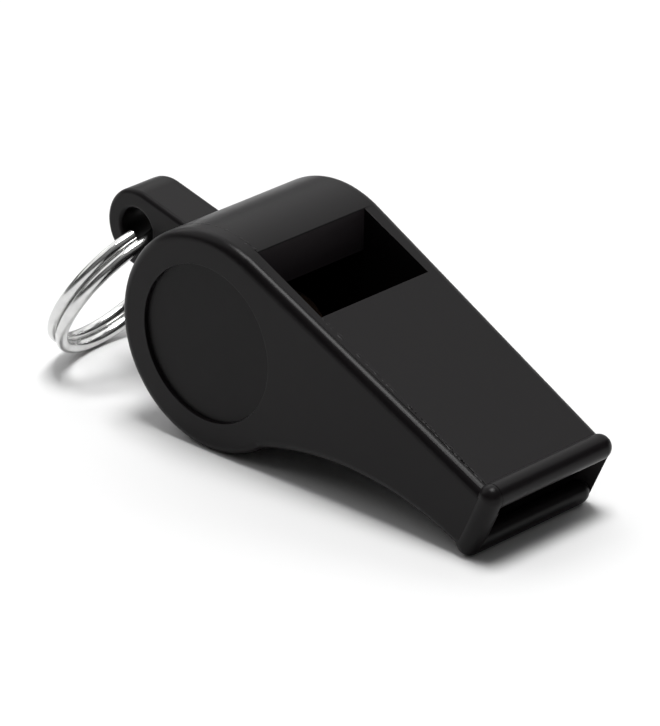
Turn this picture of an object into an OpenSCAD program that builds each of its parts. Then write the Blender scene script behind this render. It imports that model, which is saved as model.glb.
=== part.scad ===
// Pea whistle in moulded plastic: a body moulding with barrel, beak and lanyard lug,
// a side cover welded to its near side, a loose pea in the barrel and a split ring in the lug.
// Millimetres. +X points to the mouth, +Z up, the whistle lies on barrel and lower lip at Z = 0.
// The side cover is on the -Y side. Heights h are measured square to the top panel, downwards.

/* [Barrel] */
// Outer diameter of the round barrel
barrel_d = 24; // [20:0.5:30]
// Diameter of the chamber in which the pea runs
chamber_d = 16; // [14:0.1:18]
// Width across the two cheeks at the barrel's axis
body_w = 20.34; // [18:0.1:26]
// Thickness of each cheek at the barrel's axis
cheek_t = 2.45; // [1.8:0.05:3.2]
// Angle by which each cheek narrows towards the mouth, in degrees
plan_taper = 1.83; // [0.5:0.05:2.5]
// Rounding of the edges of the cheeks
edge_r = 0.9; // [0.4:0.1:1.2]

/* [Beak] */
// Slope of the top panel, in degrees
beak_pitch = 25; // [20:0.5:30]
// Length of the top panel from the barrel to the axis of the lips
beak_len = 35.7; // [32:0.1:40]
// Thickness of the top panel
panel_t = 1.7; // [1.2:0.1:2.2]
// Angle below the horizontal at which the hollow underside leaves the barrel, in degrees
cove_start = 52; // [48:1:56]
// Depth of the hollow underside below its chord
cove_sag = 2.7; // [1.5:0.1:3.2]

/* [Lips] */
// Diameter of the round bead along the lips
lip_d = 2.7; // [2:0.1:3.2]
// Height h of the upper bead's axis below the top panel
lip_sink = 0.6; // [0.3:0.05:1]
// How far the beads stand proud of the cheeks
lip_proud = 0.2; // [0:0.05:0.4]
// How far the walls run into the beads past their axis
lip_cover = 0.65; // [0.4:0.05:0.8]

/* [Window and windway] */
// Length of the sound window along the top panel
window_len = 9.84; // [8:0.1:11]
// How far the window starts behind the line where panel and barrel meet
window_back = 0.2; // [0:0.05:0.6]
// Height of the windway slit at the window
slit_h = 1.3; // [0.9:0.1:1.8]
// Angle above the horizontal at which the block's face leaves the chamber, in degrees
block_turn = -10; // [-20:1:0]
// How far the lower lip stands above the windway's floor
lip_step = 0.3; // [0.2:0.05:0.6]
// Wall left around the core pocket in the block under the windway
core_wall = 1.8; // [1.4:0.1:2.2]

/* [Cheek discs] */
// Diameter of the plain recessed disc in each cheek
disc_d = 17; // [12:0.5:19]
// Depth of the disc
disc_depth = 0.45; // [0.2:0.05:0.8]

/* [Lanyard lug] */
// Distance of the lug's hole behind the barrel's axis
lug_back = 17.6; // [16.5:0.1:20]
// Height of the lug's hole above the barrel's axis
lug_rise = 4.7; // [2:0.1:6]
// Slope of the lug, in degrees
lug_tilt = 13.3; // [8:0.1:18]
// Thickness of the lug
lug_t = 5.4; // [4:0.1:6]
// Diameter of the lug's round end
lug_end_d = 8.6; // [8:0.1:9.6]
// Diameter of the lug's hole
lug_hole_d = 4.5; // [4.4:0.05:5.2]
// Chamfer at both ends of the hole
lug_chamfer = 0.25; // [0.1:0.05:0.4]
// Rounding of the lug's edges
lug_edge_r = 0.7; // [0.3:0.05:1]
// How deep the lug's root is sunk in the barrel's wall
lug_root = 1.6; // [1.2:0.1:2]

/* [Pea] */
// Diameter of the pea, larger than the window is long
pea_d = 10.5; // [10:0.1:11.5]
// Gap between the pea and the chamber's wall
pea_gap = 0.2; // [0.1:0.05:0.4]

/* [Split ring] */
// Diameter of the ring at the middle of its wire
ring_d = 17.9; // [16:0.1:20]
// Diameter of the ring's wire
wire_d = 1.15; // [0.9:0.05:1.2]
// Clear gap between the ring's two turns
turn_gap = 0.43; // [0.41:0.01:0.5]
// How far the ring's wire lies below the hole's centre, in the ring's plane
ring_hang = 0.1; // [0:0.05:0.2]
// How far the ring's plane lies in front of the hole's centre
ring_ahead = 0.45; // [0.2:0.05:0.5]
// How far the ring's centre lies to the near side
ring_aside = 0.7; // [0:0.1:0.9]
// Angle of the wire's outer end from the hole, in degrees
wire_end = 15; // [15:1:30]
// Angle in which the wire crosses from one turn to the other, in degrees
wire_jog = 45; // [30:5:60]

/* [Hidden] */
plastic = "#343537";
plastic_cover = "#3a3b3d";
cork = "#b88a58";
steel = "#c9cccf";
overrun = 1;
arc_step = 4;
round_steps = 4;
last_turn = 90 - 90 / round_steps;
bore_fn = 96;
turn_steps = 24;
wire_sides = 6;
gap_step = 5;
lip_fn = 32;
pea_fn = 72;

barrel_r = barrel_d / 2;
chamber_r = chamber_d / 2;
half_w = body_w / 2;
chamber_w = half_w - cheek_t;
lip_r = lip_d / 2;
lug_r = lug_end_d / 2;
ring_r = ring_d / 2;
wire_r = wire_d / 2;
turn_pitch = wire_d + turn_gap;
pea_orbit = chamber_r - pea_d / 2 - pea_gap;

// Unit directions in the XZ plane: along the top panel to the mouth, and square out of it
along = [cos(beak_pitch), -sin(beak_pitch)];
out = [sin(beak_pitch), cos(beak_pitch)];

// The ring hangs in the hole and leans until its foot meets the ground
hole_z = barrel_r + lug_rise;
lean_reach = [ring_hang + ring_d, ring_ahead + turn_pitch / 2];
lean_share = min(1, (hole_z - wire_r) / norm(lean_reach));
ring_lean = atan2(lean_reach[1], lean_reach[0]) + acos(lean_share);
ring_down = [-sin(ring_lean), -cos(ring_lean)];
ring_back = [-cos(ring_lean), sin(ring_lean)];

// The barrel's axis is set so that the whole part is centred on X = 0
front_reach = (barrel_r - lip_sink) * sin(beak_pitch) + beak_len * cos(beak_pitch) + lip_r;
rear_reach = lug_back + lean_reach[0] * sin(ring_lean)
    + (turn_pitch / 2 - ring_ahead) * cos(ring_lean) + wire_r;
axis = [(rear_reach - front_reach) / 2, barrel_r];
hole = [axis[0] - lug_back, hole_z];
ring_mid = hole + (ring_hang + ring_r) * ring_down - ring_ahead * ring_back;

function polar(mid, r, a) = mid + r * [cos(a), sin(a)];
function unit(v) = v / norm(v);
function left_of(v) = [-v[1], v[0]];

// A place on the beak, by its distance s along the top panel and its height h below it
panel_start = axis + barrel_r * out;
function beak(s, h) = panel_start + s * along - h * out;

// Half width of the body over a given x
function cheek_y(x) = half_w - (x - axis[0]) * tan(plan_taper);

// A place moved along the beak to the mouth's end
function at_mouth(p) = p + (mouth_s - (p - panel_start) * along) * along;

// The crossing of two lines, each given by a point and a direction
function crossing(p, u, q, v) =
    let (w = q - p, det = u[1] * v[0] - u[0] * v[1])
    p + u * (w[1] * v[0] - w[0] * v[1]) / det;

lip_top = beak(beak_len, lip_sink);
lower_h = (panel_start[1] + beak_len * along[1] - lip_r) / out[1];
lip_low = beak(beak_len, lower_h);
lip_y = cheek_y(lip_top[0]) - lip_r + lip_proud;
mouth_s = beak_len + lip_cover;

// The hollow underside is an arc from the barrel to the lower lip
cove_from = polar(axis, barrel_r, -cove_start);
cove_to = beak(mouth_s, lower_h + lip_cover);
cove_chord = norm(cove_to - cove_from);
cove_r = (cove_chord * cove_chord / 4 + cove_sag * cove_sag) / (2 * cove_sag);
cove_mid = (cove_from + cove_to) / 2 - (cove_r - cove_sag) * left_of(unit(cove_to - cove_from));
cove_a0 = atan2(cove_from[1] - cove_mid[1], cove_from[0] - cove_mid[0]);
cove_a1 = atan2(cove_to[1] - cove_mid[1], cove_to[0] - cove_mid[0]);
cove_steps = ceil((cove_a0 - cove_a1) / arc_step);
barrel_turn = 270 + beak_pitch - cove_start;
barrel_steps = ceil(barrel_turn / arc_step);

// Outline of the whistle seen from the near side, anticlockwise
side_outline = concat(
    [for (i = [0 : barrel_steps])
        polar(axis, barrel_r, 90 - beak_pitch + barrel_turn * i / barrel_steps)],
    [for (i = [1 : cove_steps])
        polar(cove_mid, cove_r, cove_a0 + (cove_a1 - cove_a0) * i / cove_steps)],
    [beak(mouth_s, 0)]
);

// Window, windway slit and the block's face towards the chamber
lip_edge_x = panel_start[0] - window_back;
window_front = window_len - window_back;
block_edge = beak(window_front, panel_t + slit_h);
block_foot = polar(axis, chamber_r, block_turn);
floor_h = lower_h - lip_r + lip_step;
floor_end = beak(mouth_s, floor_h);

// The core pocket keeps one wall from the windway's floor, the chamber and the underside
floor_dir = unit(floor_end - block_edge);
face_dir = unit(block_edge - block_foot);
face_root = block_foot - core_wall * face_dir;
pocket_floor = block_edge - core_wall * left_of(floor_dir);
pocket_face = block_foot - core_wall * left_of(face_dir);
pocket_peak = crossing(pocket_floor, floor_dir, pocket_face, face_dir);
pocket_side = [pocket_face[0], 0];
pocket_end = [floor_end[0], 0];
pocket_tip = pocket_floor + norm(floor_end - block_edge) * floor_dir;

// Outline of the lug, a bar with a round end, anticlockwise
lug_dir = [cos(lug_tilt), -sin(lug_tilt)];
lug_up = [sin(lug_tilt), cos(lug_tilt)];
lug_reach = norm(axis - hole) - barrel_r + lug_root;
lug_steps = ceil(180 / arc_step);
lug_outline = concat(
    [hole + lug_r * lug_up + lug_reach * lug_dir],
    [for (i = [0 : lug_steps]) polar(hole, lug_r, 90 - lug_tilt + 180 * i / lug_steps)],
    [hole - lug_r * lug_up + lug_reach * lug_dir]
);

// The wire's middle line: it leaves its outer end in the rear turn, goes once round,
// crosses to the front turn and goes round again, so it never closes on itself
wire_stop = wire_end + 720 - wire_jog;
jog_from = wire_end + 360 - wire_jog;
function turn_side(a) =
    a < jog_from ? 1 : a > jog_from + wire_jog ? -1 : cos(180 * (a - jog_from) / wire_jog);
function ring_out(a) = [-cos(a) * ring_down[0], -sin(a), -cos(a) * ring_down[1]];
ring_axis = [ring_back[0], 0, ring_back[1]];
ring_at = [ring_mid[0], -ring_aside, ring_mid[1]];
function wire_at(a) = ring_at + ring_r * ring_out(a) + turn_side(a) * turn_pitch / 2 * ring_axis;
wire_rings = round((wire_stop - wire_end) * turn_steps / 360);

// Least clear gap between the wire's turns, measured between points of its middle line
gap_points = [for (a = [wire_end : gap_step : wire_stop]) wire_at(a)];
gap_apart = 180 / gap_step;
least_gap = min([for (i = [0 : len(gap_points) - 1])
    for (j = [i + gap_apart : 1 : len(gap_points) - 1])
        norm(gap_points[i] - gap_points[j])]) - wire_d;

// An outline drawn in by d all round, with mitred corners
function inset(pts, d) = [for (i = [0 : len(pts) - 1])
    let (n = len(pts),
        before = left_of(unit(pts[i] - pts[(i + n - 1) % n])),
        after = left_of(unit(pts[(i + 1) % n] - pts[i])))
    pts[i] + d * (before + after) / (1 + before * after)];

// Rings of points on a cheek's rounded edge, from the outline to just past the flat cheek,
// which past_cheek() then cuts level: d is how far a ring is drawn in, sink its depth.
// The far cheek's mouth end, between the last two points, stays square
function cheek_ring(pts, side, d, sink) = let (ring = inset(pts, d), square = len(ring) - 2)
    [for (i = [0 : len(ring) - 1])
        let (p = side > 0 && i >= square ? at_mouth(ring[i]) : ring[i])
        [p[0], side * (cheek_y(p[0]) - sink), p[1]]];
function cheek_rings(side) = concat(
    [for (i = [0 : round_steps - 1]) let (a = 90 * i / round_steps)
        cheek_ring(side_outline, side, edge_r * (1 - cos(a)), edge_r * (1 - sin(a)))],
    [cheek_ring(side_outline, side, edge_r * (1 + cos(last_turn)), edge_r * (sin(last_turn) - 1))]
);
function level_ring(pts, y) = [for (p = pts) [p[0], y, p[1]]];
function bar_ring(pts, side, half, r, a) =
    level_ring(inset(pts, r * (1 - cos(a))), side * (half - r * (1 - sin(a))));

// A closed skin over rings of points that follow each other towards +Y
module skin(rings) {
    n = len(rings[0]);
    last = len(rings) - 1;
    polyhedron(
        points = [for (ring = rings) for (p = ring) p],
        faces = concat(
            [[for (i = [0 : n - 1]) (n - i) % n]],
            [for (k = [0 : last - 1]) for (i = [0 : n - 1])
                [k * n + i, k * n + (i + 1) % n, (k + 1) * n + (i + 1) % n]],
            [for (k = [0 : last - 1]) for (i = [0 : n - 1])
                [k * n + i, (k + 1) * n + (i + 1) % n, (k + 1) * n + i]],
            [[for (i = [0 : n - 1]) last * n + i]]
        ),
        convexity = 6
    );
}

// A flat shape in the XZ plane, drawn out from one y to another
module across(y0, y1) {
    translate([0, y1, 0]) rotate([90, 0, 0]) linear_extrude(y1 - y0, convexity = 6) children();
}

// The ball at one corner of the mouth
module corner_ball(at, y) {
    translate([at[0], y, at[1]]) sphere(r = lip_r, $fn = lip_fn);
}

// A round bead from the seam to the ball at the far corner
module cross_bead(at) {
    hull() {
        corner_ball(at, lip_y);
        across(-chamber_w, 0) translate(at) circle(r = lip_r, $fn = lip_fn);
    }
}

// The upright bead at the near side of the mouth, with the balls at its two corners
module upright_bead() {
    hull() {
        corner_ball(lip_low, -lip_y);
        corner_ball(lip_top, -lip_y);
    }
}

// The space outside a cheek, with the plain disc sunk square into the tapered cheek
module past_cheek(side) {
    translate([axis[0], side * half_w, axis[1]])
        rotate([0, 0, -side * plan_taper])
            rotate([-90 * side, 0, 0]) {
                translate([0, 0, -disc_depth])
                    cylinder(d = disc_d, h = disc_depth + overrun, $fn = bore_fn);
                linear_extrude(overrun) square(2 * (barrel_d + beak_len), center = true);
            }
}

// The air space seen from the side: chamber, window and windway
module chamber_shape() {
    translate(axis) circle(r = chamber_r, $fn = bore_fn);
    polygon([
        axis,
        face_root,
        block_edge,
        beak(window_front, -overrun),
        [lip_edge_x, panel_start[1] + overrun],
        [lip_edge_x, axis[1]]
    ]);
}
module windway_shape() {
    polygon([
        block_edge,
        floor_end,
        beak(mouth_s + overrun, floor_h),
        beak(mouth_s + overrun, panel_t),
        beak(window_front - slit_h, panel_t),
        beak(window_front - slit_h, panel_t + slit_h)
    ]);
}
module pocket_shape() {
    difference() {
        polygon([pocket_peak, pocket_side, pocket_end, pocket_tip]);
        translate(axis) circle(r = chamber_r + core_wall, $fn = bore_fn);
        translate(cove_mid) circle(r = cove_r + core_wall, $fn = 4 * bore_fn);
    }
}

module lug() {
    skin(concat(
        [for (i = [round_steps : -1 : 0])
            bar_ring(lug_outline, -1, lug_t / 2, lug_edge_r, 90 * i / round_steps)],
        [for (i = [0 : round_steps])
            bar_ring(lug_outline, 1, lug_t / 2, lug_edge_r, 90 * i / round_steps)]
    ));
}

module lug_bore() {
    translate([hole[0], 0, hole[1]]) rotate([90, 0, 0]) {
        cylinder(d = lug_hole_d, h = lug_t + 2 * overrun, center = true, $fn = bore_fn);
        for (side = [0, 180])
            rotate([side, 0, 0]) translate([0, 0, lug_t / 2 - lug_chamfer])
                cylinder(
                    d1 = lug_hole_d,
                    d2 = lug_hole_d + 2 * (lug_chamfer + overrun),
                    h = lug_chamfer + overrun,
                    $fn = bore_fn
                );
    }
}

module body_moulding() {
    color(plastic) difference() {
        union() {
            difference() {
                skin(concat([level_ring(side_outline, -chamber_w)], cheek_rings(1)));
                across(-chamber_w - overrun, chamber_w) {
                    chamber_shape();
                    windway_shape();
                    pocket_shape();
                }
                past_cheek(1);
            }
            lug();
            cross_bead(lip_top);
            cross_bead(lip_low);
        }
        lug_bore();
    }
}

module side_cover() {
    color(plastic_cover) {
        difference() {
            skin(concat(
                [for (i = [round_steps : -1 : 0]) cheek_rings(-1)[i]],
                [level_ring(side_outline, -chamber_w)]
            ));
            past_cheek(-1);
        }
        difference() {
            upright_bead();
            across(-chamber_w, lip_y) for (h = [[-overrun, lip_sink + lip_r],
                                                 [floor_h - lip_step, lower_h + lip_r + overrun]])
                polygon([
                    beak(mouth_s - 2 * lip_d, h[0]),
                    beak(mouth_s - 2 * lip_d, h[1]),
                    beak(mouth_s + 2 * lip_d, h[1]),
                    beak(mouth_s + 2 * lip_d, h[0])
                ]);
        }
    }
}

module pea() {
    color(cork) translate([axis[0], 0, axis[1] - pea_orbit]) sphere(d = pea_d, $fn = pea_fn);
}

module split_ring() {
    sides = wire_sides;
    points = [for (i = [0 : wire_rings]) for (k = [0 : sides - 1])
        let (a = wire_end + (wire_stop - wire_end) * i / wire_rings, b = 360 * k / sides)
        wire_at(a) + wire_r * (cos(b) * ring_out(a) + sin(b) * ring_axis)];
    color(steel) polyhedron(
        points = points,
        faces = concat(
            [for (k = [1 : sides - 2]) [0, k, k + 1]],
            [for (i = [0 : wire_rings - 1]) for (k = [0 : sides - 1])
                [i * sides + k, (i + 1) * sides + k, (i + 1) * sides + (k + 1) % sides]],
            [for (i = [0 : wire_rings - 1]) for (k = [0 : sides - 1])
                [i * sides + k, (i + 1) * sides + (k + 1) % sides, i * sides + (k + 1) % sides]],
            [for (k = [1 : sides - 2])
                [wire_rings * sides, wire_rings * sides + k + 1, wire_rings * sides + k]]
        ),
        convexity = 6
    );
}

echo(least_gap_between_the_turns = least_gap);

body_moulding();
side_cover();
pea();
split_ring();
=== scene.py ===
"""Moulded plastic pea whistle with its split ring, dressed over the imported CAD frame.

Shapes are worked out in millimetres, in the CAD's own frame, and every finished mesh is in metres.
+X points to the mouth, +Z up, the side cover is on the -Y side.
"""

import math

import bmesh
import bpy
import numpy as np
from mathutils import Matrix, Vector


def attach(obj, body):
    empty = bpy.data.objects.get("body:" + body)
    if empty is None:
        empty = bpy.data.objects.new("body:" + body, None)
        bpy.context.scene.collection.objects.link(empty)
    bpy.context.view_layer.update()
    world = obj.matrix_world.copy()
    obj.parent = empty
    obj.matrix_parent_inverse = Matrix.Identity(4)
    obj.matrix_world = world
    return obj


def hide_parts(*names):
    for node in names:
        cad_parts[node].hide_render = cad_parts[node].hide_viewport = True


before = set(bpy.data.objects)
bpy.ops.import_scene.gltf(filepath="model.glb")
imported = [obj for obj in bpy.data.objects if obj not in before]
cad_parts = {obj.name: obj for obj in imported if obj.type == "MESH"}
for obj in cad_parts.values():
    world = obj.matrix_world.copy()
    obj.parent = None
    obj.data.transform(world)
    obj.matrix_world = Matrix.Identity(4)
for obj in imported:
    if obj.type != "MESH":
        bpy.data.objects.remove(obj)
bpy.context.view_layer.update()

MM = 0.001


# Camera: the photograph's angle, with its long lens


def add_camera():
    place = Vector((383.8081, -400.6851, 273.0673)) * MM
    right = Vector((0.7201005, 0.6937628, 0.0121891))
    up = Vector((-0.3066905, 0.3024777, 0.9024678))
    back = right.cross(up)
    turn = Matrix((right, up, back)).transposed()
    lens = bpy.data.cameras.new("photo_camera")
    lens.sensor_fit = "AUTO"
    lens.sensor_width = 36
    lens.lens = 300
    lens.clip_start = 0.01
    lens.clip_end = 20
    camera = bpy.data.objects.new("photo_camera", lens)
    camera.matrix_world = Matrix.Translation(place) @ turn.to_4x4()
    bpy.context.scene.collection.objects.link(camera)
    bpy.context.scene.camera = camera


add_camera()


# Sizes of the whistle, in millimetres and degrees. The edges, the panel's reach into the lip bead and the
# ring's wire and lie were fitted to the photograph last, and differ a little from the CAD.

# Barrel, cheeks and beak. The CAD's box is centred, and BARREL_X is where that puts the barrel's axis.
BARREL_X = -5.44673
BARREL_R = 12
CHAMBER_R = 8
HALF_WIDTH = 10.17
CHEEK = 2.45
PLAN_TAPER = 1.83
EDGE_R = 1.15
SEAM_Y = CHEEK - HALF_WIDTH
PITCH = 25
BEAK_LENGTH = 35.7
PANEL = 1.7
# The arch underneath, from the barrel to the lower lip
COVE_START = 52
COVE_SAG = 2.7
# Lip beads
LIP_R = 1.35
LIP_SINK = 0.6
LIP_PROUD = 0.2
LIP_COVER = 0.85
# Sound window, windway and the block under it
WINDOW_BACK = 0.2
WINDOW_FRONT = 9.64
SLIT = 1.3
BLOCK_TURN = -10
LIP_STEP = 0.3
FLARE = 1.6
# Recessed discs
DISC_R = 8.5
DISC_DEPTH = 0.45
# Lanyard lug
HOLE_BACK = 17.6
HOLE_RISE = 4.7
LUG_TILT = 13.3
LUG_HALF = 2.7
LUG_R = 4.3
LUG_HOLE_R = 2.25
LUG_HOLE_FLARE = 0.4
LUG_EDGE_R = 0.55
LUG_ROOT = 1.6
# Pea
PEA_R = 5.25
PEA_DROP = 2.55
PEA_DENT = 0.05
# Split ring: its lie in the lug's hole, and its wire
RING_R = 8.9
RING_HANG = 0.16
RING_AHEAD = 0.76
RING_ASIDE = 0.28
RING_LEAN = 31.46
RING_YAW = 3.87
WIRE_R = 0.645
WIRE_PITCH = 1.32
WIRE_END = 18.5
WIRE_JOG = 45
# Weld bead and specks along the seam
BEAD_HEIGHT = 0.28
BEAD_SUNK = 0.045
WELD_START = 150
WELD_STOP = 68
WELD_GAP = 0.4
WELD_END = 34
SPECKS_START = 21.5
SPECKS_END = 33
# Widths of the bevels on rims and joints
WINDOW_RIM = 0.07
DISC_RIM = 0.1
SEAM_GROOVE = 0.05
LIP_GROOVE = 0.11
# How far a cutting tool runs past the skin, and half the side of one that takes all beyond a plane
PAST = 1.5
BIG = 200
# How near two places count as one, and how far off its line an edge is still picked for a bevel
NEAR = 1e-4
SLACK = 0.02
# How far the near bead's cut keeps off the seam's plane, so that no two faces coincide
HAIR = 0.004

AXIS = np.array([BARREL_X, BARREL_R])
HOLE = AXIS + [-HOLE_BACK, HOLE_RISE]


def turned(angle):
    """Unit direction at that angle above +X, in the XZ plane."""
    return np.array([math.cos(math.radians(angle)), math.sin(math.radians(angle))])


ALONG = turned(-PITCH)
OUT = turned(90 - PITCH)
PANEL_START = AXIS + BARREL_R * OUT


def beak(s, h):
    """A place on the beak: s along the top panel, h below it."""
    return PANEL_START + s * ALONG - h * OUT


def cheek_y(x):
    """Half the whistle's width at that x. The cheeks close in towards the mouth."""
    return HALF_WIDTH - (x - AXIS[0]) * math.tan(math.radians(PLAN_TAPER))


LIP_TOP = beak(BEAK_LENGTH, LIP_SINK)
LOWER_H = (PANEL_START[1] + BEAK_LENGTH * ALONG[1] - LIP_R) / OUT[1]
LIP_LOW = beak(BEAK_LENGTH, LOWER_H)
LIP_Y = cheek_y(LIP_TOP[0]) - LIP_R + LIP_PROUD
MOUTH = BEAK_LENGTH + LIP_COVER
FLOOR_H = LOWER_H - LIP_R + LIP_STEP
BLOCK_EDGE = beak(WINDOW_FRONT, PANEL + SLIT)
LIP_EDGE_X = PANEL_START[0] - WINDOW_BACK


# Outlines in the XZ plane, anticlockwise from the near side


def arc(mid, r, start, stop, step=1.5):
    """Points on a circle from one angle to another, at most a step apart."""
    count = max(2, math.ceil(abs(stop - start) / step))
    return [mid + r * turned(start + (stop - start) * i / count) for i in range(count + 1)]


def bearing(v):
    """A direction's angle above +X, in degrees."""
    return math.degrees(math.atan2(v[1], v[0]))


def side_outline():
    """Barrel, arch and beak, without lug and beads."""
    start = AXIS + BARREL_R * turned(-COVE_START)
    stop = beak(MOUTH, LOWER_H + LIP_COVER)
    chord = stop - start
    half = np.linalg.norm(chord) / 2
    r = (half * half + COVE_SAG * COVE_SAG) / (2 * COVE_SAG)
    side = np.array([-chord[1], chord[0]]) / (2 * half)
    mid = (start + stop) / 2 - (r - COVE_SAG) * side
    barrel = arc(AXIS, BARREL_R, 90 - PITCH, 360 - COVE_START)
    cove = arc(mid, r, bearing(start - mid), bearing(stop - mid))
    return barrel + cove[1:] + [beak(MOUTH, 0)]


def air_outline():
    """Chamber, window and windway in one outline."""
    top = math.degrees(math.acos((LIP_EDGE_X - AXIS[0]) / CHAMBER_R))
    end = beak(MOUTH, FLOOR_H)
    slope = (end - BLOCK_EDGE) / np.linalg.norm(end - BLOCK_EDGE)
    return arc(AXIS, CHAMBER_R, top, 360 + BLOCK_TURN, 3) + [
        BLOCK_EDGE,
        end + 2 * PAST * slope,
        beak(MOUTH + 3 * PAST, PANEL),
        beak(WINDOW_FRONT, PANEL),
        beak(WINDOW_FRONT, -PAST),
        np.array([LIP_EDGE_X, PANEL_START[1] + PAST]),
    ]


def lug_outline():
    """The lug's rounded end and straight sides, run on into the barrel's wall."""
    along, up = turned(-LUG_TILT), turned(90 - LUG_TILT)
    reach = np.linalg.norm(AXIS - HOLE) - BARREL_R + LUG_ROOT
    end = arc(HOLE, LUG_R, 90 - LUG_TILT, 270 - LUG_TILT, 3)
    return [HOLE + LUG_R * up + reach * along, *end, HOLE - LUG_R * up + reach * along]


def drawn_in(outline, d):
    """The outline moved in by d all round, with mitred corners."""
    p = np.array(outline)
    before = p - np.roll(p, 1, axis=0)
    after = np.roll(p, -1, axis=0) - p
    before /= np.linalg.norm(before, axis=1)[:, None]
    after /= np.linalg.norm(after, axis=1)[:, None]
    n0 = np.stack([-before[:, 1], before[:, 0]], 1)
    n1 = np.stack([-after[:, 1], after[:, 0]], 1)
    return p + d * (n0 + n1) / (1 + (n0 * n1).sum(1))[:, None]


# Mesh helpers


def link(name, mesh):
    """Puts the mesh in the scene as a piece."""
    piece = bpy.data.objects.new(name, mesh)
    bpy.context.scene.collection.objects.link(piece)
    return piece


def mesh_of(name, points, faces):
    """A piece from points and faces, with its faces turned outwards."""
    mesh = bpy.data.meshes.new(name)
    mesh.from_pydata([tuple(map(float, p)) for p in points], [], faces)
    shell = bmesh.new()
    shell.from_mesh(mesh)
    bmesh.ops.recalc_face_normals(shell, faces=shell.faces)
    shell.to_mesh(mesh)
    shell.free()
    return link(name, mesh)


def bands(rings, n):
    """Quads between neighbouring rings of n points."""
    return [
        [k * n + i, k * n + (i + 1) % n, (k + 1) * n + (i + 1) % n, (k + 1) * n + i]
        for k in range(rings - 1)
        for i in range(n)
    ]


def loft(name, rings):
    """A closed skin through rings of equal length, with a flat cap at each end."""
    n = len(rings[0])
    points = [p for ring in rings for p in ring]
    caps = [list(range(n))[::-1], [(len(rings) - 1) * n + i for i in range(n)]]
    return mesh_of(name, points, caps + bands(len(rings), n))


def level(outline, y):
    """The outline's points in space, at that y."""
    return [(p[0], y, p[1]) for p in outline]


def prism(name, outline, y0, y1):
    """A straight bar of that outline along Y."""
    return loft(name, [level(outline, y0), level(outline, y1)])


def turned_rings(profile, middle, turn, sides):
    """Rings of points round a turned Z axis, one for each (radius, z) pair."""
    angles = [2 * math.pi * k / sides for k in range(sides)]
    rings = []
    for r, z in profile:
        rings.append([middle + turn @ Vector((r * math.cos(b), r * math.sin(b), z)) for b in angles])
    return rings


def capsule(name, start, end, r, sides=48, rounds=12):
    """A round bar from start to end with ball ends."""
    start, end = Vector(start), Vector(end)
    turn = (end - start).to_track_quat("Z", "Y").to_matrix()
    length = (end - start).length
    angles = [math.pi / 2 * (i / rounds - 1) for i in range(1, rounds + 1)]
    half = [(r * math.cos(a), r * math.sin(a)) for a in angles]
    profile = half + [(radius, length - z) for radius, z in half[::-1]]
    points = [p for ring in turned_rings(profile, start, turn, sides) for p in ring]
    faces = bands(len(profile), sides)
    last, low, high = len(points) - sides, len(points), len(points) + 1
    points += [start - turn @ Vector((0, 0, r)), end + turn @ Vector((0, 0, r))]
    for i in range(sides):
        j = (i + 1) % sides
        faces += [[low, j, i], [high, last + i, last + j]]
    return mesh_of(name, points, faces)


def lathe(name, profile, middle, turn, sides=96):
    """A solid turned about its own Z axis from (radius, z) pairs, closed by flat ends."""
    return loft(name, turned_rings(profile, Vector(middle), turn, sides))


def rounded(r, steps):
    """A rounded edge's (in, down) pairs, from where it leaves the side to where it meets the face."""
    angles = [math.radians(90 * i / steps) for i in range(steps + 1)]
    return [(r * (1 - math.cos(a)), r * (1 - math.sin(a))) for a in angles]


def baked(piece):
    """The piece with its modifiers made part of its mesh."""
    view = bpy.context.evaluated_depsgraph_get()
    mesh = bpy.data.meshes.new_from_object(piece.evaluated_get(view))
    piece.modifiers.clear()
    piece.data = mesh
    return piece


def carve(piece, *steps):
    """Joins or cuts the piece with each tool in turn. The tools are used up."""
    for operation, tool in steps:
        step = piece.modifiers.new(operation, "BOOLEAN")
        step.operation = operation
        step.solver = "EXACT"
        step.object = tool
    baked(piece)
    for _, tool in steps:
        bpy.data.objects.remove(tool)
    return piece


def soften(piece, pick, width, segments):
    """Bevels the picked edges. With two segments they look rounded."""
    shell = bmesh.new()
    shell.from_mesh(piece.data)
    bmesh.ops.remove_doubles(shell, verts=shell.verts, dist=NEAR)
    bmesh.ops.dissolve_degenerate(shell, edges=shell.edges, dist=NEAR)
    edges = [e for e in shell.edges if len(e.link_faces) == 2 and pick(e)]
    if edges:
        bmesh.ops.bevel(
            shell,
            geom=edges,
            offset=width,
            offset_type="OFFSET",
            segments=segments,
            profile=0.5,
            affect="EDGES",
            clamp_overlap=False,
        )
    shell.to_mesh(piece.data)
    shell.free()
    return piece


def smooth(piece, angle=32):
    """Smooth shading that keeps edges sharper than the angle and keeps flat faces flat."""
    mesh = piece.data
    mesh.shade_smooth()
    mesh.set_sharp_from_angle(angle=math.radians(angle))
    even = piece.modifiers.new("flat_faces_lead", "WEIGHTED_NORMAL")
    even.mode = "FACE_AREA"
    even.weight = 60
    even.keep_sharp = True
    return baked(piece)


def in_metres(piece):
    """Takes the finished piece from millimetres to metres."""
    piece.data.transform(Matrix.Scale(MM, 4))
    piece.data.update()
    return piece


# The two mouldings


def cheek_rings(outline, side):
    """A cheek's rounded edge. The far cheek's mouth end, between its last two points, stays square."""
    rings = []
    for inwards, down in rounded(EDGE_R, 8):
        inner = drawn_in(outline, inwards)
        if side > 0:
            inner[-2:] += np.outer(MOUTH - (inner[-2:] - PANEL_START) @ ALONG, ALONG)
        rings.append([(p[0], side * (cheek_y(p[0]) - down), p[1]) for p in inner])
    return rings


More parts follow.
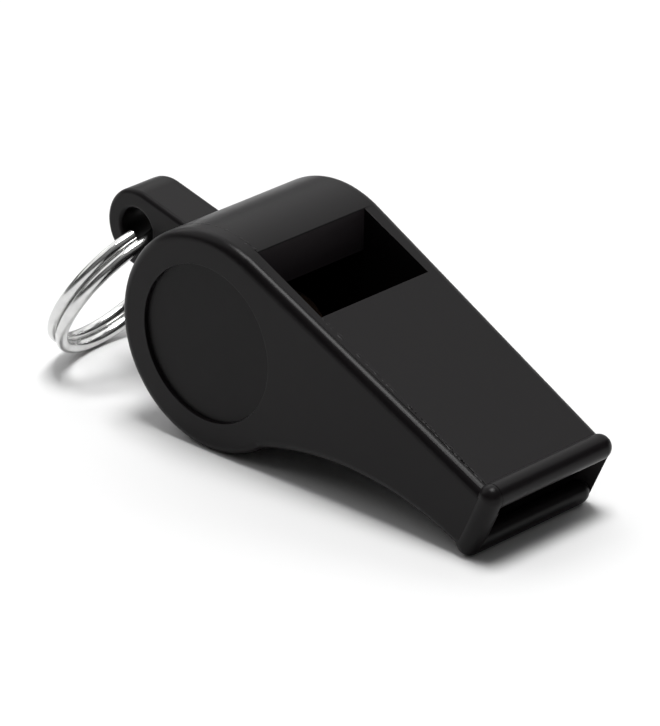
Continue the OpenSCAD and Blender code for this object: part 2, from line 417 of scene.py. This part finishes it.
def disc_tool(side):
    """The plain recess sunk square into a cheek."""
    turn = Matrix.Rotation(math.radians(-side * PLAN_TAPER), 3, "Z")
    turn = turn @ Matrix.Rotation(math.radians(-90 * side), 3, "X")
    middle = (AXIS[0], side * HALF_WIDTH, AXIS[1])
    return lathe("disc_tool", [(DISC_R, -DISC_DEPTH), (DISC_R, PAST)], middle, turn, sides=128)


def flare_tool():
    """Thins the far wall to an edge at the mouth, between the two beads."""
    inner, outer = HALF_WIDTH - CHEEK, cheek_y(beak(MOUTH, 0)[0])
    slope = (outer - inner) / FLARE
    rings = []
    for h in (LIP_SINK, LOWER_H):
        corners = [
            (beak(MOUTH - FLARE, h), inner),
            (beak(MOUTH + PAST, h), outer + slope * PAST),
            (beak(MOUTH + PAST, h), inner - PAST),
            (beak(MOUTH - FLARE, h), inner - PAST),
        ]
        rings.append([(p[0], y, p[1]) for p, y in corners])
    return loft("flare_tool", rings)


def lug_hole_tool():
    """The hole with its rounded rims."""
    profile = [(LUG_HOLE_R + LUG_HOLE_FLARE, -LUG_HALF - PAST)]
    profile += [(LUG_HOLE_R + down, inwards - LUG_HALF) for inwards, down in rounded(LUG_HOLE_FLARE, 6)]
    profile += [(r, -z) for r, z in profile[::-1]]
    turn = Matrix.Rotation(math.radians(90), 3, "X")
    return lathe("lug_hole_tool", profile, (HOLE[0], 0, HOLE[1]), turn)


def lug_bar():
    """The lug with its rounded edges, before it has its hole."""
    outline = lug_outline()
    half = [(drawn_in(outline, inwards), LUG_HALF - down) for inwards, down in rounded(LUG_EDGE_R, 6)]
    rings = [level(inner, -y) for inner, y in half[::-1]] + [level(inner, y) for inner, y in half]
    return loft("lug_bar", rings)


def on_seam(edge):
    """The rim of the flat face that meets the other moulding."""
    if any(abs(v.co.y - SEAM_Y) > HAIR / 4 for v in edge.verts):
        return False
    flat = [abs(f.normal.y) > 0.99 for f in edge.link_faces]
    return flat[0] != flat[1]


def on_lip_seam(edge):
    """The same rim where it goes round the lip beads: there the joint shows as a fine groove."""
    middles = (LIP_TOP, LIP_LOW)
    reach = [min(math.hypot(v.co.x - m[0], v.co.z - m[1]) for m in middles) for v in edge.verts]
    return on_seam(edge) and max(reach) < LIP_R + SLACK


def on_plain_seam(edge):
    return on_seam(edge) and not on_lip_seam(edge)


def is_sharp(edge):
    """Its faces meet at more than about 45 degrees."""
    a, b = (f.normal for f in edge.link_faces)
    return a.dot(b) < 0.7


def on_window(edge):
    """The window's rim on the top panel, apart from the seam."""
    for v in edge.verts:
        p = np.array([v.co.x, v.co.z]) - PANEL_START
        on_panel = abs(p @ OUT) < SLACK and -2 * WINDOW_BACK < p @ ALONG < WINDOW_FRONT + SLACK
        if not on_panel or v.co.y > HALF_WIDTH - CHEEK + SLACK:
            return False
    return is_sharp(edge)


def on_disc(edge):
    """The rim of a cheek's recess."""
    for v in edge.verts:
        r = math.hypot(v.co.x - AXIS[0], v.co.z - AXIS[1])
        if abs(r - DISC_R) > SLACK or abs(v.co.y) < cheek_y(v.co.x) - SLACK:
            return False
    return is_sharp(edge)


def cross_bead(name, middle):
    """A lip bead across the whistle, run past the seam, where it is cut off flat."""
    return capsule(name, (middle[0], SEAM_Y - PAST, middle[1]), (middle[0], LIP_Y, middle[1]), LIP_R)


def make_body():
    """All but the near cheek. It is made up to a little past the seam, and cut off flat there last."""
    outline = side_outline()
    body = loft("whistle_body", [level(outline, SEAM_Y - PAST / 3), *cheek_rings(outline, 1)])
    chamber_end = HALF_WIDTH - CHEEK
    slab = [AXIS + (x * BIG, z * BIG) for x, z in ((-1, -1), (1, -1), (1, 1), (-1, 1))]
    carve(
        body,
        ("DIFFERENCE", prism("air_tool", air_outline(), SEAM_Y - PAST, chamber_end)),
        ("DIFFERENCE", disc_tool(1)),
        ("DIFFERENCE", flare_tool()),
        ("UNION", lug_bar()),
        ("DIFFERENCE", lug_hole_tool()),
        ("UNION", cross_bead("top_bead", LIP_TOP)),
        ("UNION", cross_bead("low_bead", LIP_LOW)),
        ("DIFFERENCE", prism("seam_tool", slab, SEAM_Y - BIG, SEAM_Y)),
    )
    soften(body, on_window, WINDOW_RIM, 2)
    soften(body, on_disc, DISC_RIM, 2)
    soften(body, on_plain_seam, SEAM_GROOVE, 1)
    soften(body, on_lip_seam, LIP_GROOVE, 1)
    return in_metres(smooth(body))


def make_cover():
    """The near cheek with its upright bead, which leaves room for the ends of the body's two beads."""
    outline = side_outline()
    cover = loft("whistle_cover", [*cheek_rings(outline, -1)[::-1], level(outline, SEAM_Y)])
    back, fore = MOUTH - 4 * LIP_R, MOUTH + 4 * LIP_R
    above, below = -2 * PAST, LOWER_H + 2 * PAST
    top, low = LIP_SINK + LIP_R, FLOOR_H - LIP_STEP
    notch = [
        beak(back, above),
        beak(back, below),
        beak(fore, below),
        beak(fore, low),
        beak(back + PAST, low),
        beak(back + PAST, top),
        beak(fore, top),
        beak(fore, above),
    ]
    lower, upper = level([LIP_LOW, LIP_TOP], -LIP_Y)
    bead = capsule("near_bead", lower, upper, LIP_R)
    carve(bead, ("DIFFERENCE", prism("bead_tool", notch, SEAM_Y - HAIR, LIP_Y)))
    carve(cover, ("DIFFERENCE", disc_tool(-1)), ("UNION", bead))
    soften(cover, on_disc, DISC_RIM, 2)
    soften(cover, on_plain_seam, SEAM_GROOVE, 1)
    soften(cover, on_lip_seam, LIP_GROOVE, 1)
    return in_metres(smooth(cover))


# Pea


def make_pea():
    """A cork ball with shallow dents."""
    shell = bmesh.new()
    bmesh.ops.create_icosphere(shell, subdivisions=5, radius=PEA_R)
    for v in shell.verts:
        n = v.co.normalized()
        dent = math.sin(n.x * 23 + 1) * math.sin(n.y * 19 + 2) * math.sin(n.z * 21 + 3)
        v.co -= n * PEA_DENT * (1 + dent)
    mesh = bpy.data.meshes.new("cork_pea")
    shell.to_mesh(mesh)
    shell.free()
    mesh.transform(Matrix.Translation((AXIS[0], 0, AXIS[1] - PEA_DROP)))
    mesh.shade_smooth()
    return in_metres(link("cork_pea", mesh))


# Node trees


class Value:
    """One output of a node, which takes part in sums. Square brackets give the node's other outputs."""

    def __init__(self, tree, made, output=0):
        self.tree = tree
        self.made = made
        self.output = output

    def __getitem__(self, output):
        return Value(self.tree, self.made, output)

    @property
    def socket(self):
        return self.made.outputs[self.output]

    def _math(self, operation, a, b):
        return self.tree.node("ShaderNodeMath", {"operation": operation}, i0=a, i1=b)

    def __add__(self, other):
        return self._math("ADD", self, other)

    def __sub__(self, other):
        return self._math("SUBTRACT", self, other)

    def __rsub__(self, other):
        return self._math("SUBTRACT", other, self)

    def __mul__(self, other):
        return self._math("MULTIPLY", self, other)

    __radd__ = __add__
    __rmul__ = __mul__


def set_stops(ramp, stops):
    """Gives a colour ramp its stops, each a place and a colour."""
    while len(ramp.elements) < len(stops):
        ramp.elements.new(0.5)
    for element, (place, colour) in zip(ramp.elements, stops):
        element.position = place
        element.color = (*colour[:3], 1)


class Nodes:
    """A tree to which nodes are added."""

    def __init__(self, group):
        self.group = group

    def node(self, kind, settings=None, output=0, **inputs):
        """Adds a node and gives one of its outputs. An input is named by its number, as i0 or i1, or by
        its name with _ for a space."""
        made = self.group.nodes.new(kind)
        for key, value in (settings or {}).items():
            if key == "stops":
                set_stops(made.color_ramp, value)
            else:
                setattr(made, key, value)
        for key, value in inputs.items():
            numbered = key[0] == "i" and key[1:].isdigit()
            socket = made.inputs[int(key[1:]) if numbered else key.replace("_", " ")]
            if isinstance(value, Value):
                self.group.links.new(value.socket, socket)
            else:
                socket.default_value = value
        return Value(self, made, output)


# Geometry Nodes: the ring's wire along its path, the weld bead and its specks along the seam


class Tree(Nodes):
    """A Geometry Nodes tree with named number inputs."""

    def __init__(self, name, numbers, material):
        super().__init__(bpy.data.node_groups.new(name, "GeometryNodeTree"))
        face = self.group.interface
        face.new_socket("Geometry", in_out="INPUT", socket_type="NodeSocketGeometry")
        for key in numbers:
            kind = "NodeSocketInt" if isinstance(numbers[key], int) else "NodeSocketFloat"
            face.new_socket(key, in_out="INPUT", socket_type=kind)
        face.new_socket("Geometry", in_out="OUTPUT", socket_type="NodeSocketGeometry")
        self.start = self.node("NodeGroupInput")
        self.numbers = numbers
        self.material = material

    def evenly(self, path):
        """The path as a curve with points at the tree's spacing."""
        spacing = self.start["Spacing"]
        return self.node("GeometryNodeResampleCurve", {"mode": "LENGTH"}, Curve=path, Length=spacing)

    def run(self, piece, shape):
        """Closes the tree with the shape, applies it to the piece and leaves a plain mesh."""
        real = self.node("GeometryNodeRealizeInstances", i0=shape)
        dressed = self.node("GeometryNodeSetMaterial", Geometry=real, Material=self.material)
        self.node("NodeGroupOutput", i0=dressed)
        step = piece.modifiers.new(self.group.name, "NODES")
        step.node_group = self.group
        for item in self.group.interface.items_tree:
            if item.in_out == "INPUT" and item.name in self.numbers:
                step[item.identifier] = self.numbers[item.name]
        return baked(piece)


def path_piece(name, points):
    """A bare line of edges through the points, for a tree to follow."""
    edges = [(i, i + 1) for i in range(len(points) - 1)]
    mesh = bpy.data.meshes.new(name)
    mesh.from_pydata([tuple(map(float, p)) for p in points], edges, [])
    return link(name, mesh)


def wire_path():
    """The middle line of the ring's wire: once round, across to the other turn, and round again."""
    lean, yaw = math.radians(RING_LEAN), math.radians(RING_YAW)
    rearward = np.array([-math.cos(yaw), -math.sin(yaw), 0])
    sideways = np.array([-math.sin(yaw), math.cos(yaw), 0])
    upward = np.array([0, 0, 1])
    down = math.sin(lean) * rearward - math.cos(lean) * upward
    back = math.cos(lean) * rearward + math.sin(lean) * upward
    lug = np.array([HOLE[0], -RING_ASIDE, HOLE[1]])
    middle = lug + (RING_HANG + RING_R) * down - RING_AHEAD * back
    jog_from = WIRE_END + 360 - WIRE_JOG
    stop = WIRE_END + 720 - WIRE_JOG
    points = []
    count = 240
    for i in range(count + 1):
        a = WIRE_END + (stop - WIRE_END) * i / count
        side = 1 if a < jog_from else -1
        if jog_from <= a <= jog_from + WIRE_JOG:
            side = math.cos(math.pi * (a - jog_from) / WIRE_JOG)
        r = math.radians(a)
        outward = -math.cos(r) * down - math.sin(r) * sideways
        points.append(middle + RING_R * outward + side * WIRE_PITCH / 2 * back)
    return points


def make_ring(material):
    """Two turns of round wire."""
    tree = Tree("wire_along_path", {"Wire radius": WIRE_R, "Sides": 24}, material)
    path = tree.node("GeometryNodeMeshToCurve", Mesh=tree.start)
    wire = tree.node(
        "GeometryNodeCurvePrimitiveCircle",
        Resolution=tree.start["Sides"],
        Radius=tree.start["Wire radius"],
    )
    tube = tree.node("GeometryNodeCurveToMesh", i0=path, i1=wire, Fill_Caps=True)
    ring = tree.run(path_piece("key_ring", wire_path()), tube)
    shell = bmesh.new()
    shell.from_mesh(ring.data)
    bmesh.ops.remove_doubles(shell, verts=shell.verts, dist=NEAR)
    bmesh.ops.recalc_face_normals(shell, faces=shell.faces)
    shell.to_mesh(ring.data)
    shell.free()
    return in_metres(smooth(ring, angle=50))


def seam_round_barrel(first, last):
    """Points along the seam on the barrel, between two angles."""
    return [(p[0], SEAM_Y, p[1]) for p in arc(AXIS, BARREL_R - BEAD_SUNK, first, last, 2)]


def seam_along_beak(first, last):
    """Points along the seam on the panel, between two distances from its start."""
    return [(p[0], SEAM_Y, p[1]) for p in (beak(s, BEAD_SUNK) for s in np.linspace(first, last, 120))]


def make_weld(name, points, material):
    """The fine bead of the weld. Its thickness changes along it, and where it is thinnest it is gone."""
    tree = Tree(name, {"Least": 0.1, "Most": 0.32, "Seed": 4, "Spacing": 0.3}, material)
    path = tree.evenly(tree.node("GeometryNodeMeshToCurve", Mesh=tree.start))
    reach = tree.node(
        "FunctionNodeRandomValue",
        {"data_type": "FLOAT"},
        output=1,
        Seed=tree.start["Seed"],
        i2=tree.start["Least"],
        i3=tree.start["Most"],
    )
    sized = tree.node("GeometryNodeSetCurveRadius", Curve=path, Radius=reach)
    upright = tree.node("GeometryNodeSetCurveNormal", {"mode": "Z_UP"}, Curve=sized)
    ring = tree.node("GeometryNodeCurvePrimitiveCircle", Resolution=12, Radius=1.0)
    flat = tree.node("GeometryNodeTransform", Geometry=ring, Scale=(1.0, BEAD_HEIGHT, 1.0))
    radius = tree.node("GeometryNodeInputRadius")
    tube = tree.node("GeometryNodeCurveToMesh", i0=upright, i1=flat, Scale=radius, Fill_Caps=True)
    weld = tree.run(path_piece(name, points), tube)
    weld.data.shade_smooth()
    return in_metres(weld)


def make_flash(material):
    """Specks of plastic squeezed out of the weld, towards the mouth."""
    numbers = {"Speck radius": 0.12, "Share": 0.4, "Spacing": 0.3, "Seed": 7}
    tree = Tree("weld_specks", numbers, material)
    path = tree.evenly(tree.node("GeometryNodeMeshToCurve", Mesh=tree.start))
    ball = tree.node("GeometryNodeMeshIcoSphere", Radius=tree.start["Speck radius"], Subdivisions=2)
    some = tree.node(
        "FunctionNodeRandomValue",
        {"data_type": "BOOLEAN"},
        output=3,
        Probability=tree.start["Share"],
        Seed=tree.start["Seed"],
    )
    least, most = (0.5, 0.35, 0.3), (1.6, 0.8, 0.7)
    size = tree.node(
        "FunctionNodeRandomValue",
        {"data_type": "FLOAT_VECTOR"},
        Seed=tree.start["Seed"],
        i0=least,
        i1=most,
    )
    specks = tree.node(
        "GeometryNodeInstanceOnPoints",
        Points=path,
        Selection=some,
        Instance=ball,
        Scale=size,
    )
    line = [beak(s, 0) for s in np.linspace(SPECKS_START, SPECKS_END, 24)]
    flash = tree.run(path_piece("weld_flash", [(p[0], SEAM_Y, p[1]) for p in line]), specks)
    flash.data.shade_smooth()
    return in_metres(flash)


# Materials


class Paint(Nodes):
    """One material, and the nodes that its looks are made of."""

    def __init__(self, name):
        self.material = bpy.data.materials.new(name)
        self.material.use_nodes = True
        super().__init__(self.material.node_tree)
        self.group.nodes.clear()

    def surface(self, kind, **inputs):
        """Closes the tree with this shader, and gives the material."""
        self.node("ShaderNodeOutputMaterial", Surface=self.node(kind, **inputs))
        return self.material

    def place(self):
        return self.node("ShaderNodeTexCoord", output="Object")

    def noise(self, scale, detail=2.0, roughness=0.5):
        return self.node(
            "ShaderNodeTexNoise",
            Vector=self.place(),
            Scale=scale,
            Detail=detail,
            Roughness=roughness,
        )

    def cells(self, feature, scale, output=0):
        """A pattern of cells: a colour for each, or how far it is to the nearest border."""
        return self.node(
            "ShaderNodeTexVoronoi",
            {"feature": feature},
            output,
            Vector=self.place(),
            Scale=scale,
        )

    def ramp(self, value, *stops):
        return self.node("ShaderNodeValToRGB", {"stops": stops}, i0=value)

    def less(self, value, limit):
        return self.node("ShaderNodeMath", {"operation": "LESS_THAN"}, i0=value, i1=limit)

    def more(self, value, limit):
        return self.node("ShaderNodeMath", {"operation": "GREATER_THAN"}, i0=value, i1=limit)

    def blend(self, share, first, second):
        """The first colour where the share is 0, the second where it is 1."""
        return self.node("ShaderNodeMix", {"data_type": "RGBA"}, output=2, i0=share, i6=first, i7=second)

    def bump(self, height, strength, distance):
        return self.node("ShaderNodeBump", Strength=strength, Distance=distance, Height=height)


PLASTIC_SHADE = 0.004
# How far under the barrel's skin the painted light on the inside walls begins
PAINTED_LIGHT_INSET = 0.1


def grey(level):
    return (level, level, level, 1)


def moulded_plastic(name):
    """Black moulded plastic: a fine spark-eroded grain, faint flow marks, and small rubs that shine a
    little less. The discs on the cheeks are a shade duller. The walls inside are painted paler, as
    painted light that stands in for the light falling in through the window."""
    shade = PLASTIC_SHADE
    paint = Paint(name)
    flow = paint.noise(60, 3)
    grain = paint.noise(5200, 2, 0.6)
    rubs = paint.noise(900, 4, 0.7)
    spot = paint.node("ShaderNodeSeparateXYZ", Vector=paint.place())
    x, z = spot["X"] - AXIS[0] * MM, spot["Z"] - AXIS[1] * MM
    reach = paint.node("ShaderNodeMath", {"operation": "SQRT"}, i0=x * x + z * z)
    side = paint.node("ShaderNodeMath", {"operation": "ABSOLUTE"}, i0=spot["Y"])
    on_cheek = paint.more(side, (HALF_WIDTH - 2 * DISC_DEPTH) * MM)
    disc = paint.less(reach, (DISC_R - DISC_RIM) * MM) * on_cheek
    colour = paint.ramp(
        flow - disc * 0.25,
        (0.1, (shade * 0.45, shade * 0.35, shade * 0.4)),
        (0.35, (shade * 1.04, shade * 0.84, shade * 0.94)),
        (0.7, (shade * 1.2, shade * 0.96, shade * 1.08)),
    )
    # Painted light: the walls inside the barrel, between the cheeks, get a much paler colour that stands
    # in for light falling in through the window.
    between_cheeks = paint.less(side, (HALF_WIDTH - CHEEK - SLACK) * MM)
    painted_light_inside = paint.less(reach, (BARREL_R - PAINTED_LIGHT_INSET) * MM) * between_cheeks
    colour = paint.blend(painted_light_inside, colour, (shade * 6.2, shade * 5.2, shade * 5.8, 1))
    rough = 0.275 + flow * 0.05 + rubs * 0.07 + disc * 0.1
    height = grain * 0.8 + rubs * 0.2
    return paint.surface(
        "ShaderNodeBsdfPrincipled",
        Base_Color=colour,
        Roughness=rough,
        Specular_IOR_Level=0.135,
        Normal=paint.bump(height, 0.12, 0.00003),
    )


def cork_grain():
    """Dark cork: brown granules with darker gaps between them."""
    paint = Paint("cork")
    size = 900
    granules = paint.cells("F1", size, output="Color")
    gaps = paint.cells("DISTANCE_TO_EDGE", size)
    specks = paint.noise(2600, 3)
    tone = paint.node("ShaderNodeSeparateColor", Color=granules)
    colour = paint.ramp(
        tone * 0.6 + specks * 0.4,
        (0.15, (0.035, 0.016, 0.008)),
        (0.5, (0.08, 0.042, 0.02)),
        (0.85, (0.14, 0.08, 0.04)),
    )
    edge = paint.ramp(gaps, (0.0, grey(0)), (0.08, grey(1)))
    return paint.surface(
        "ShaderNodeBsdfPrincipled",
        Base_Color=paint.blend(edge, (0.02, 0.01, 0.006, 1), colour),
        Roughness=0.86,
        Normal=paint.bump(edge + specks * 0.5, 0.4, 0.0001),
    )


def bright_steel():
    """Nickel-plated spring wire with faint drawing marks."""
    paint = Paint("ring_steel")
    haze = paint.noise(700, 3)
    marks = paint.noise(3000, 2)
    return paint.surface(
        "ShaderNodeBsdfPrincipled",
        Base_Color=paint.ramp(haze, (0.3, (0.6, 0.6, 0.6)), (0.7, (0.74, 0.74, 0.73))),
        Metallic=1.0,
        Roughness=0.16 + haze * 0.14,
        Normal=paint.bump(marks, 0.05, 0.00002),
    )


# Floor, light and background


FLOOR_WHITE = 0.82
FLOOR_HALF = 6
LAMP_AWAY = 8
# Brightness of the room as metal and gloss mirror it: all round, and at the horizon
ROOM = 0.03
WALL = 0.25
WALL_TOP = (0.07, 0.16)
# Brightness that the room adds to matt surfaces, along each axis
TENT = (0, 0, 0.02)


def white_floor():
    """Matt white paper."""
    return Paint("white_floor").surface("ShaderNodeBsdfDiffuse", Color=grey(FLOOR_WHITE))


def add_floor():
    corners = [(x * FLOOR_HALF, y * FLOOR_HALF, 0) for x, y in ((-1, -1), (1, -1), (1, 1), (-1, 1))]
    mesh = bpy.data.meshes.new("floor")
    mesh.from_pydata(corners, [], [(0, 1, 2, 3)])
    floor = link("floor", mesh)
    floor.data.materials.append(white_floor())


def add_softbox(name, azimuth, elevation, width, height, glow):
    """A flat lamp far off in that direction, turned to the object. Its sizes are angles, its glow is
    the brightness of its face, on the scale where a lit white floor is 1."""
    a, e = math.radians(azimuth), math.radians(elevation)
    place = LAMP_AWAY * Vector((math.cos(a) * math.cos(e), math.sin(a) * math.cos(e), math.sin(e)))
    lamp = bpy.data.lights.new(name, "AREA")
    lamp.shape = "RECTANGLE"
    lamp.size = 2 * LAMP_AWAY * math.tan(math.radians(width) / 2)
    lamp.size_y = 2 * LAMP_AWAY * math.tan(math.radians(height) / 2)
    lamp.energy = glow * math.pi * lamp.size * lamp.size_y
    box = bpy.data.objects.new(name, lamp)
    box.location = place
    box.rotation_mode = "QUATERNION"
    box.rotation_quaternion = place.to_track_quat("Z", "Y")
    bpy.context.scene.collection.objects.link(box)


def add_world():
    """A dim room. The camera sees it white. What mirrors sees it dark, with a paler wall at the horizon,
    and what is matt gets a little light from above."""
    world = bpy.data.worlds.new("studio")
    world.use_nodes = True
    room = Nodes(world.node_tree)
    room.group.nodes.clear()

    way = room.node("ShaderNodeTexCoord", output="Generated")
    low, high = WALL_TOP
    height = room.node("ShaderNodeSeparateXYZ", output="Z", i0=way)
    mirrored = room.node(
        "ShaderNodeMapRange",
        Value=height,
        From_Min=low,
        From_Max=high,
        To_Min=WALL,
        To_Max=ROOM,
    )
    lean = room.node(
        "ShaderNodeVectorMath",
        {"operation": "DOT_PRODUCT"},
        output="Value",
        i0=way,
        i1=TENT,
    )
    matt = room.node("ShaderNodeMath", {"operation": "MAXIMUM"}, i0=lean, i1=0)
    ray = room.node("ShaderNodeLightPath")
    seen = room.node(
        "ShaderNodeMixShader",
        i0=ray["Is Diffuse Ray"],
        i1=room.node("ShaderNodeBackground", Color=grey(1), Strength=mirrored),
        i2=room.node("ShaderNodeBackground", Color=grey(1), Strength=matt),
    )
    seen = room.node(
        "ShaderNodeMixShader",
        i0=ray["Is Camera Ray"],
        i1=seen,
        i2=room.node("ShaderNodeBackground", Color=grey(1)),
    )
    room.node("ShaderNodeOutputWorld", Surface=seen)
    bpy.context.scene.world = world


add_world()
add_floor()
for lamp in (
    ("key_softbox", 60, 88, 22, 22, 18.5),
    ("back_softbox", 114, 50, 70, 26, 1.36),
    ("low_back_softbox", 134, 25, 80, 24, 0.97),
    ("side_softbox", 195, 45, 60, 50, 1.13),
    ("fill_softbox", -20, 50, 110, 50, 0.15),
):
    add_softbox(*lamp)
bpy.context.scene.view_settings.view_transform = "Standard"


# Dressing

body_plastic = moulded_plastic("body_plastic")
cover_plastic = moulded_plastic("cover_plastic")
cork = cork_grain()
steel = bright_steel()

body = make_body()
cover = make_cover()
pea = make_pea()
ring = make_ring(steel)
back_weld = make_weld("barrel_weld_bead", seam_round_barrel(WELD_START, WELD_STOP), body_plastic)
front_weld = make_weld("beak_weld_bead", seam_along_beak(WINDOW_FRONT + WELD_GAP, WELD_END), body_plastic)
flash = make_flash(body_plastic)

for piece, material, owner, slot in (
    (body, body_plastic, "whistle", "body_plastic"),
    (cover, cover_plastic, "whistle", "cover_plastic"),
    (back_weld, body_plastic, "whistle", "body_plastic"),
    (front_weld, body_plastic, "whistle", "body_plastic"),
    (flash, body_plastic, "whistle", "body_plastic"),
    (pea, cork, "pea", "cork"),
    (ring, steel, "ring", "ring_steel"),
):
    piece.data.materials.clear()
    piece.data.materials.append(material)
    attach(piece, owner)

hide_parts("body_moulding")
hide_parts("side_cover")
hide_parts("pea")
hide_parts("split_ring")
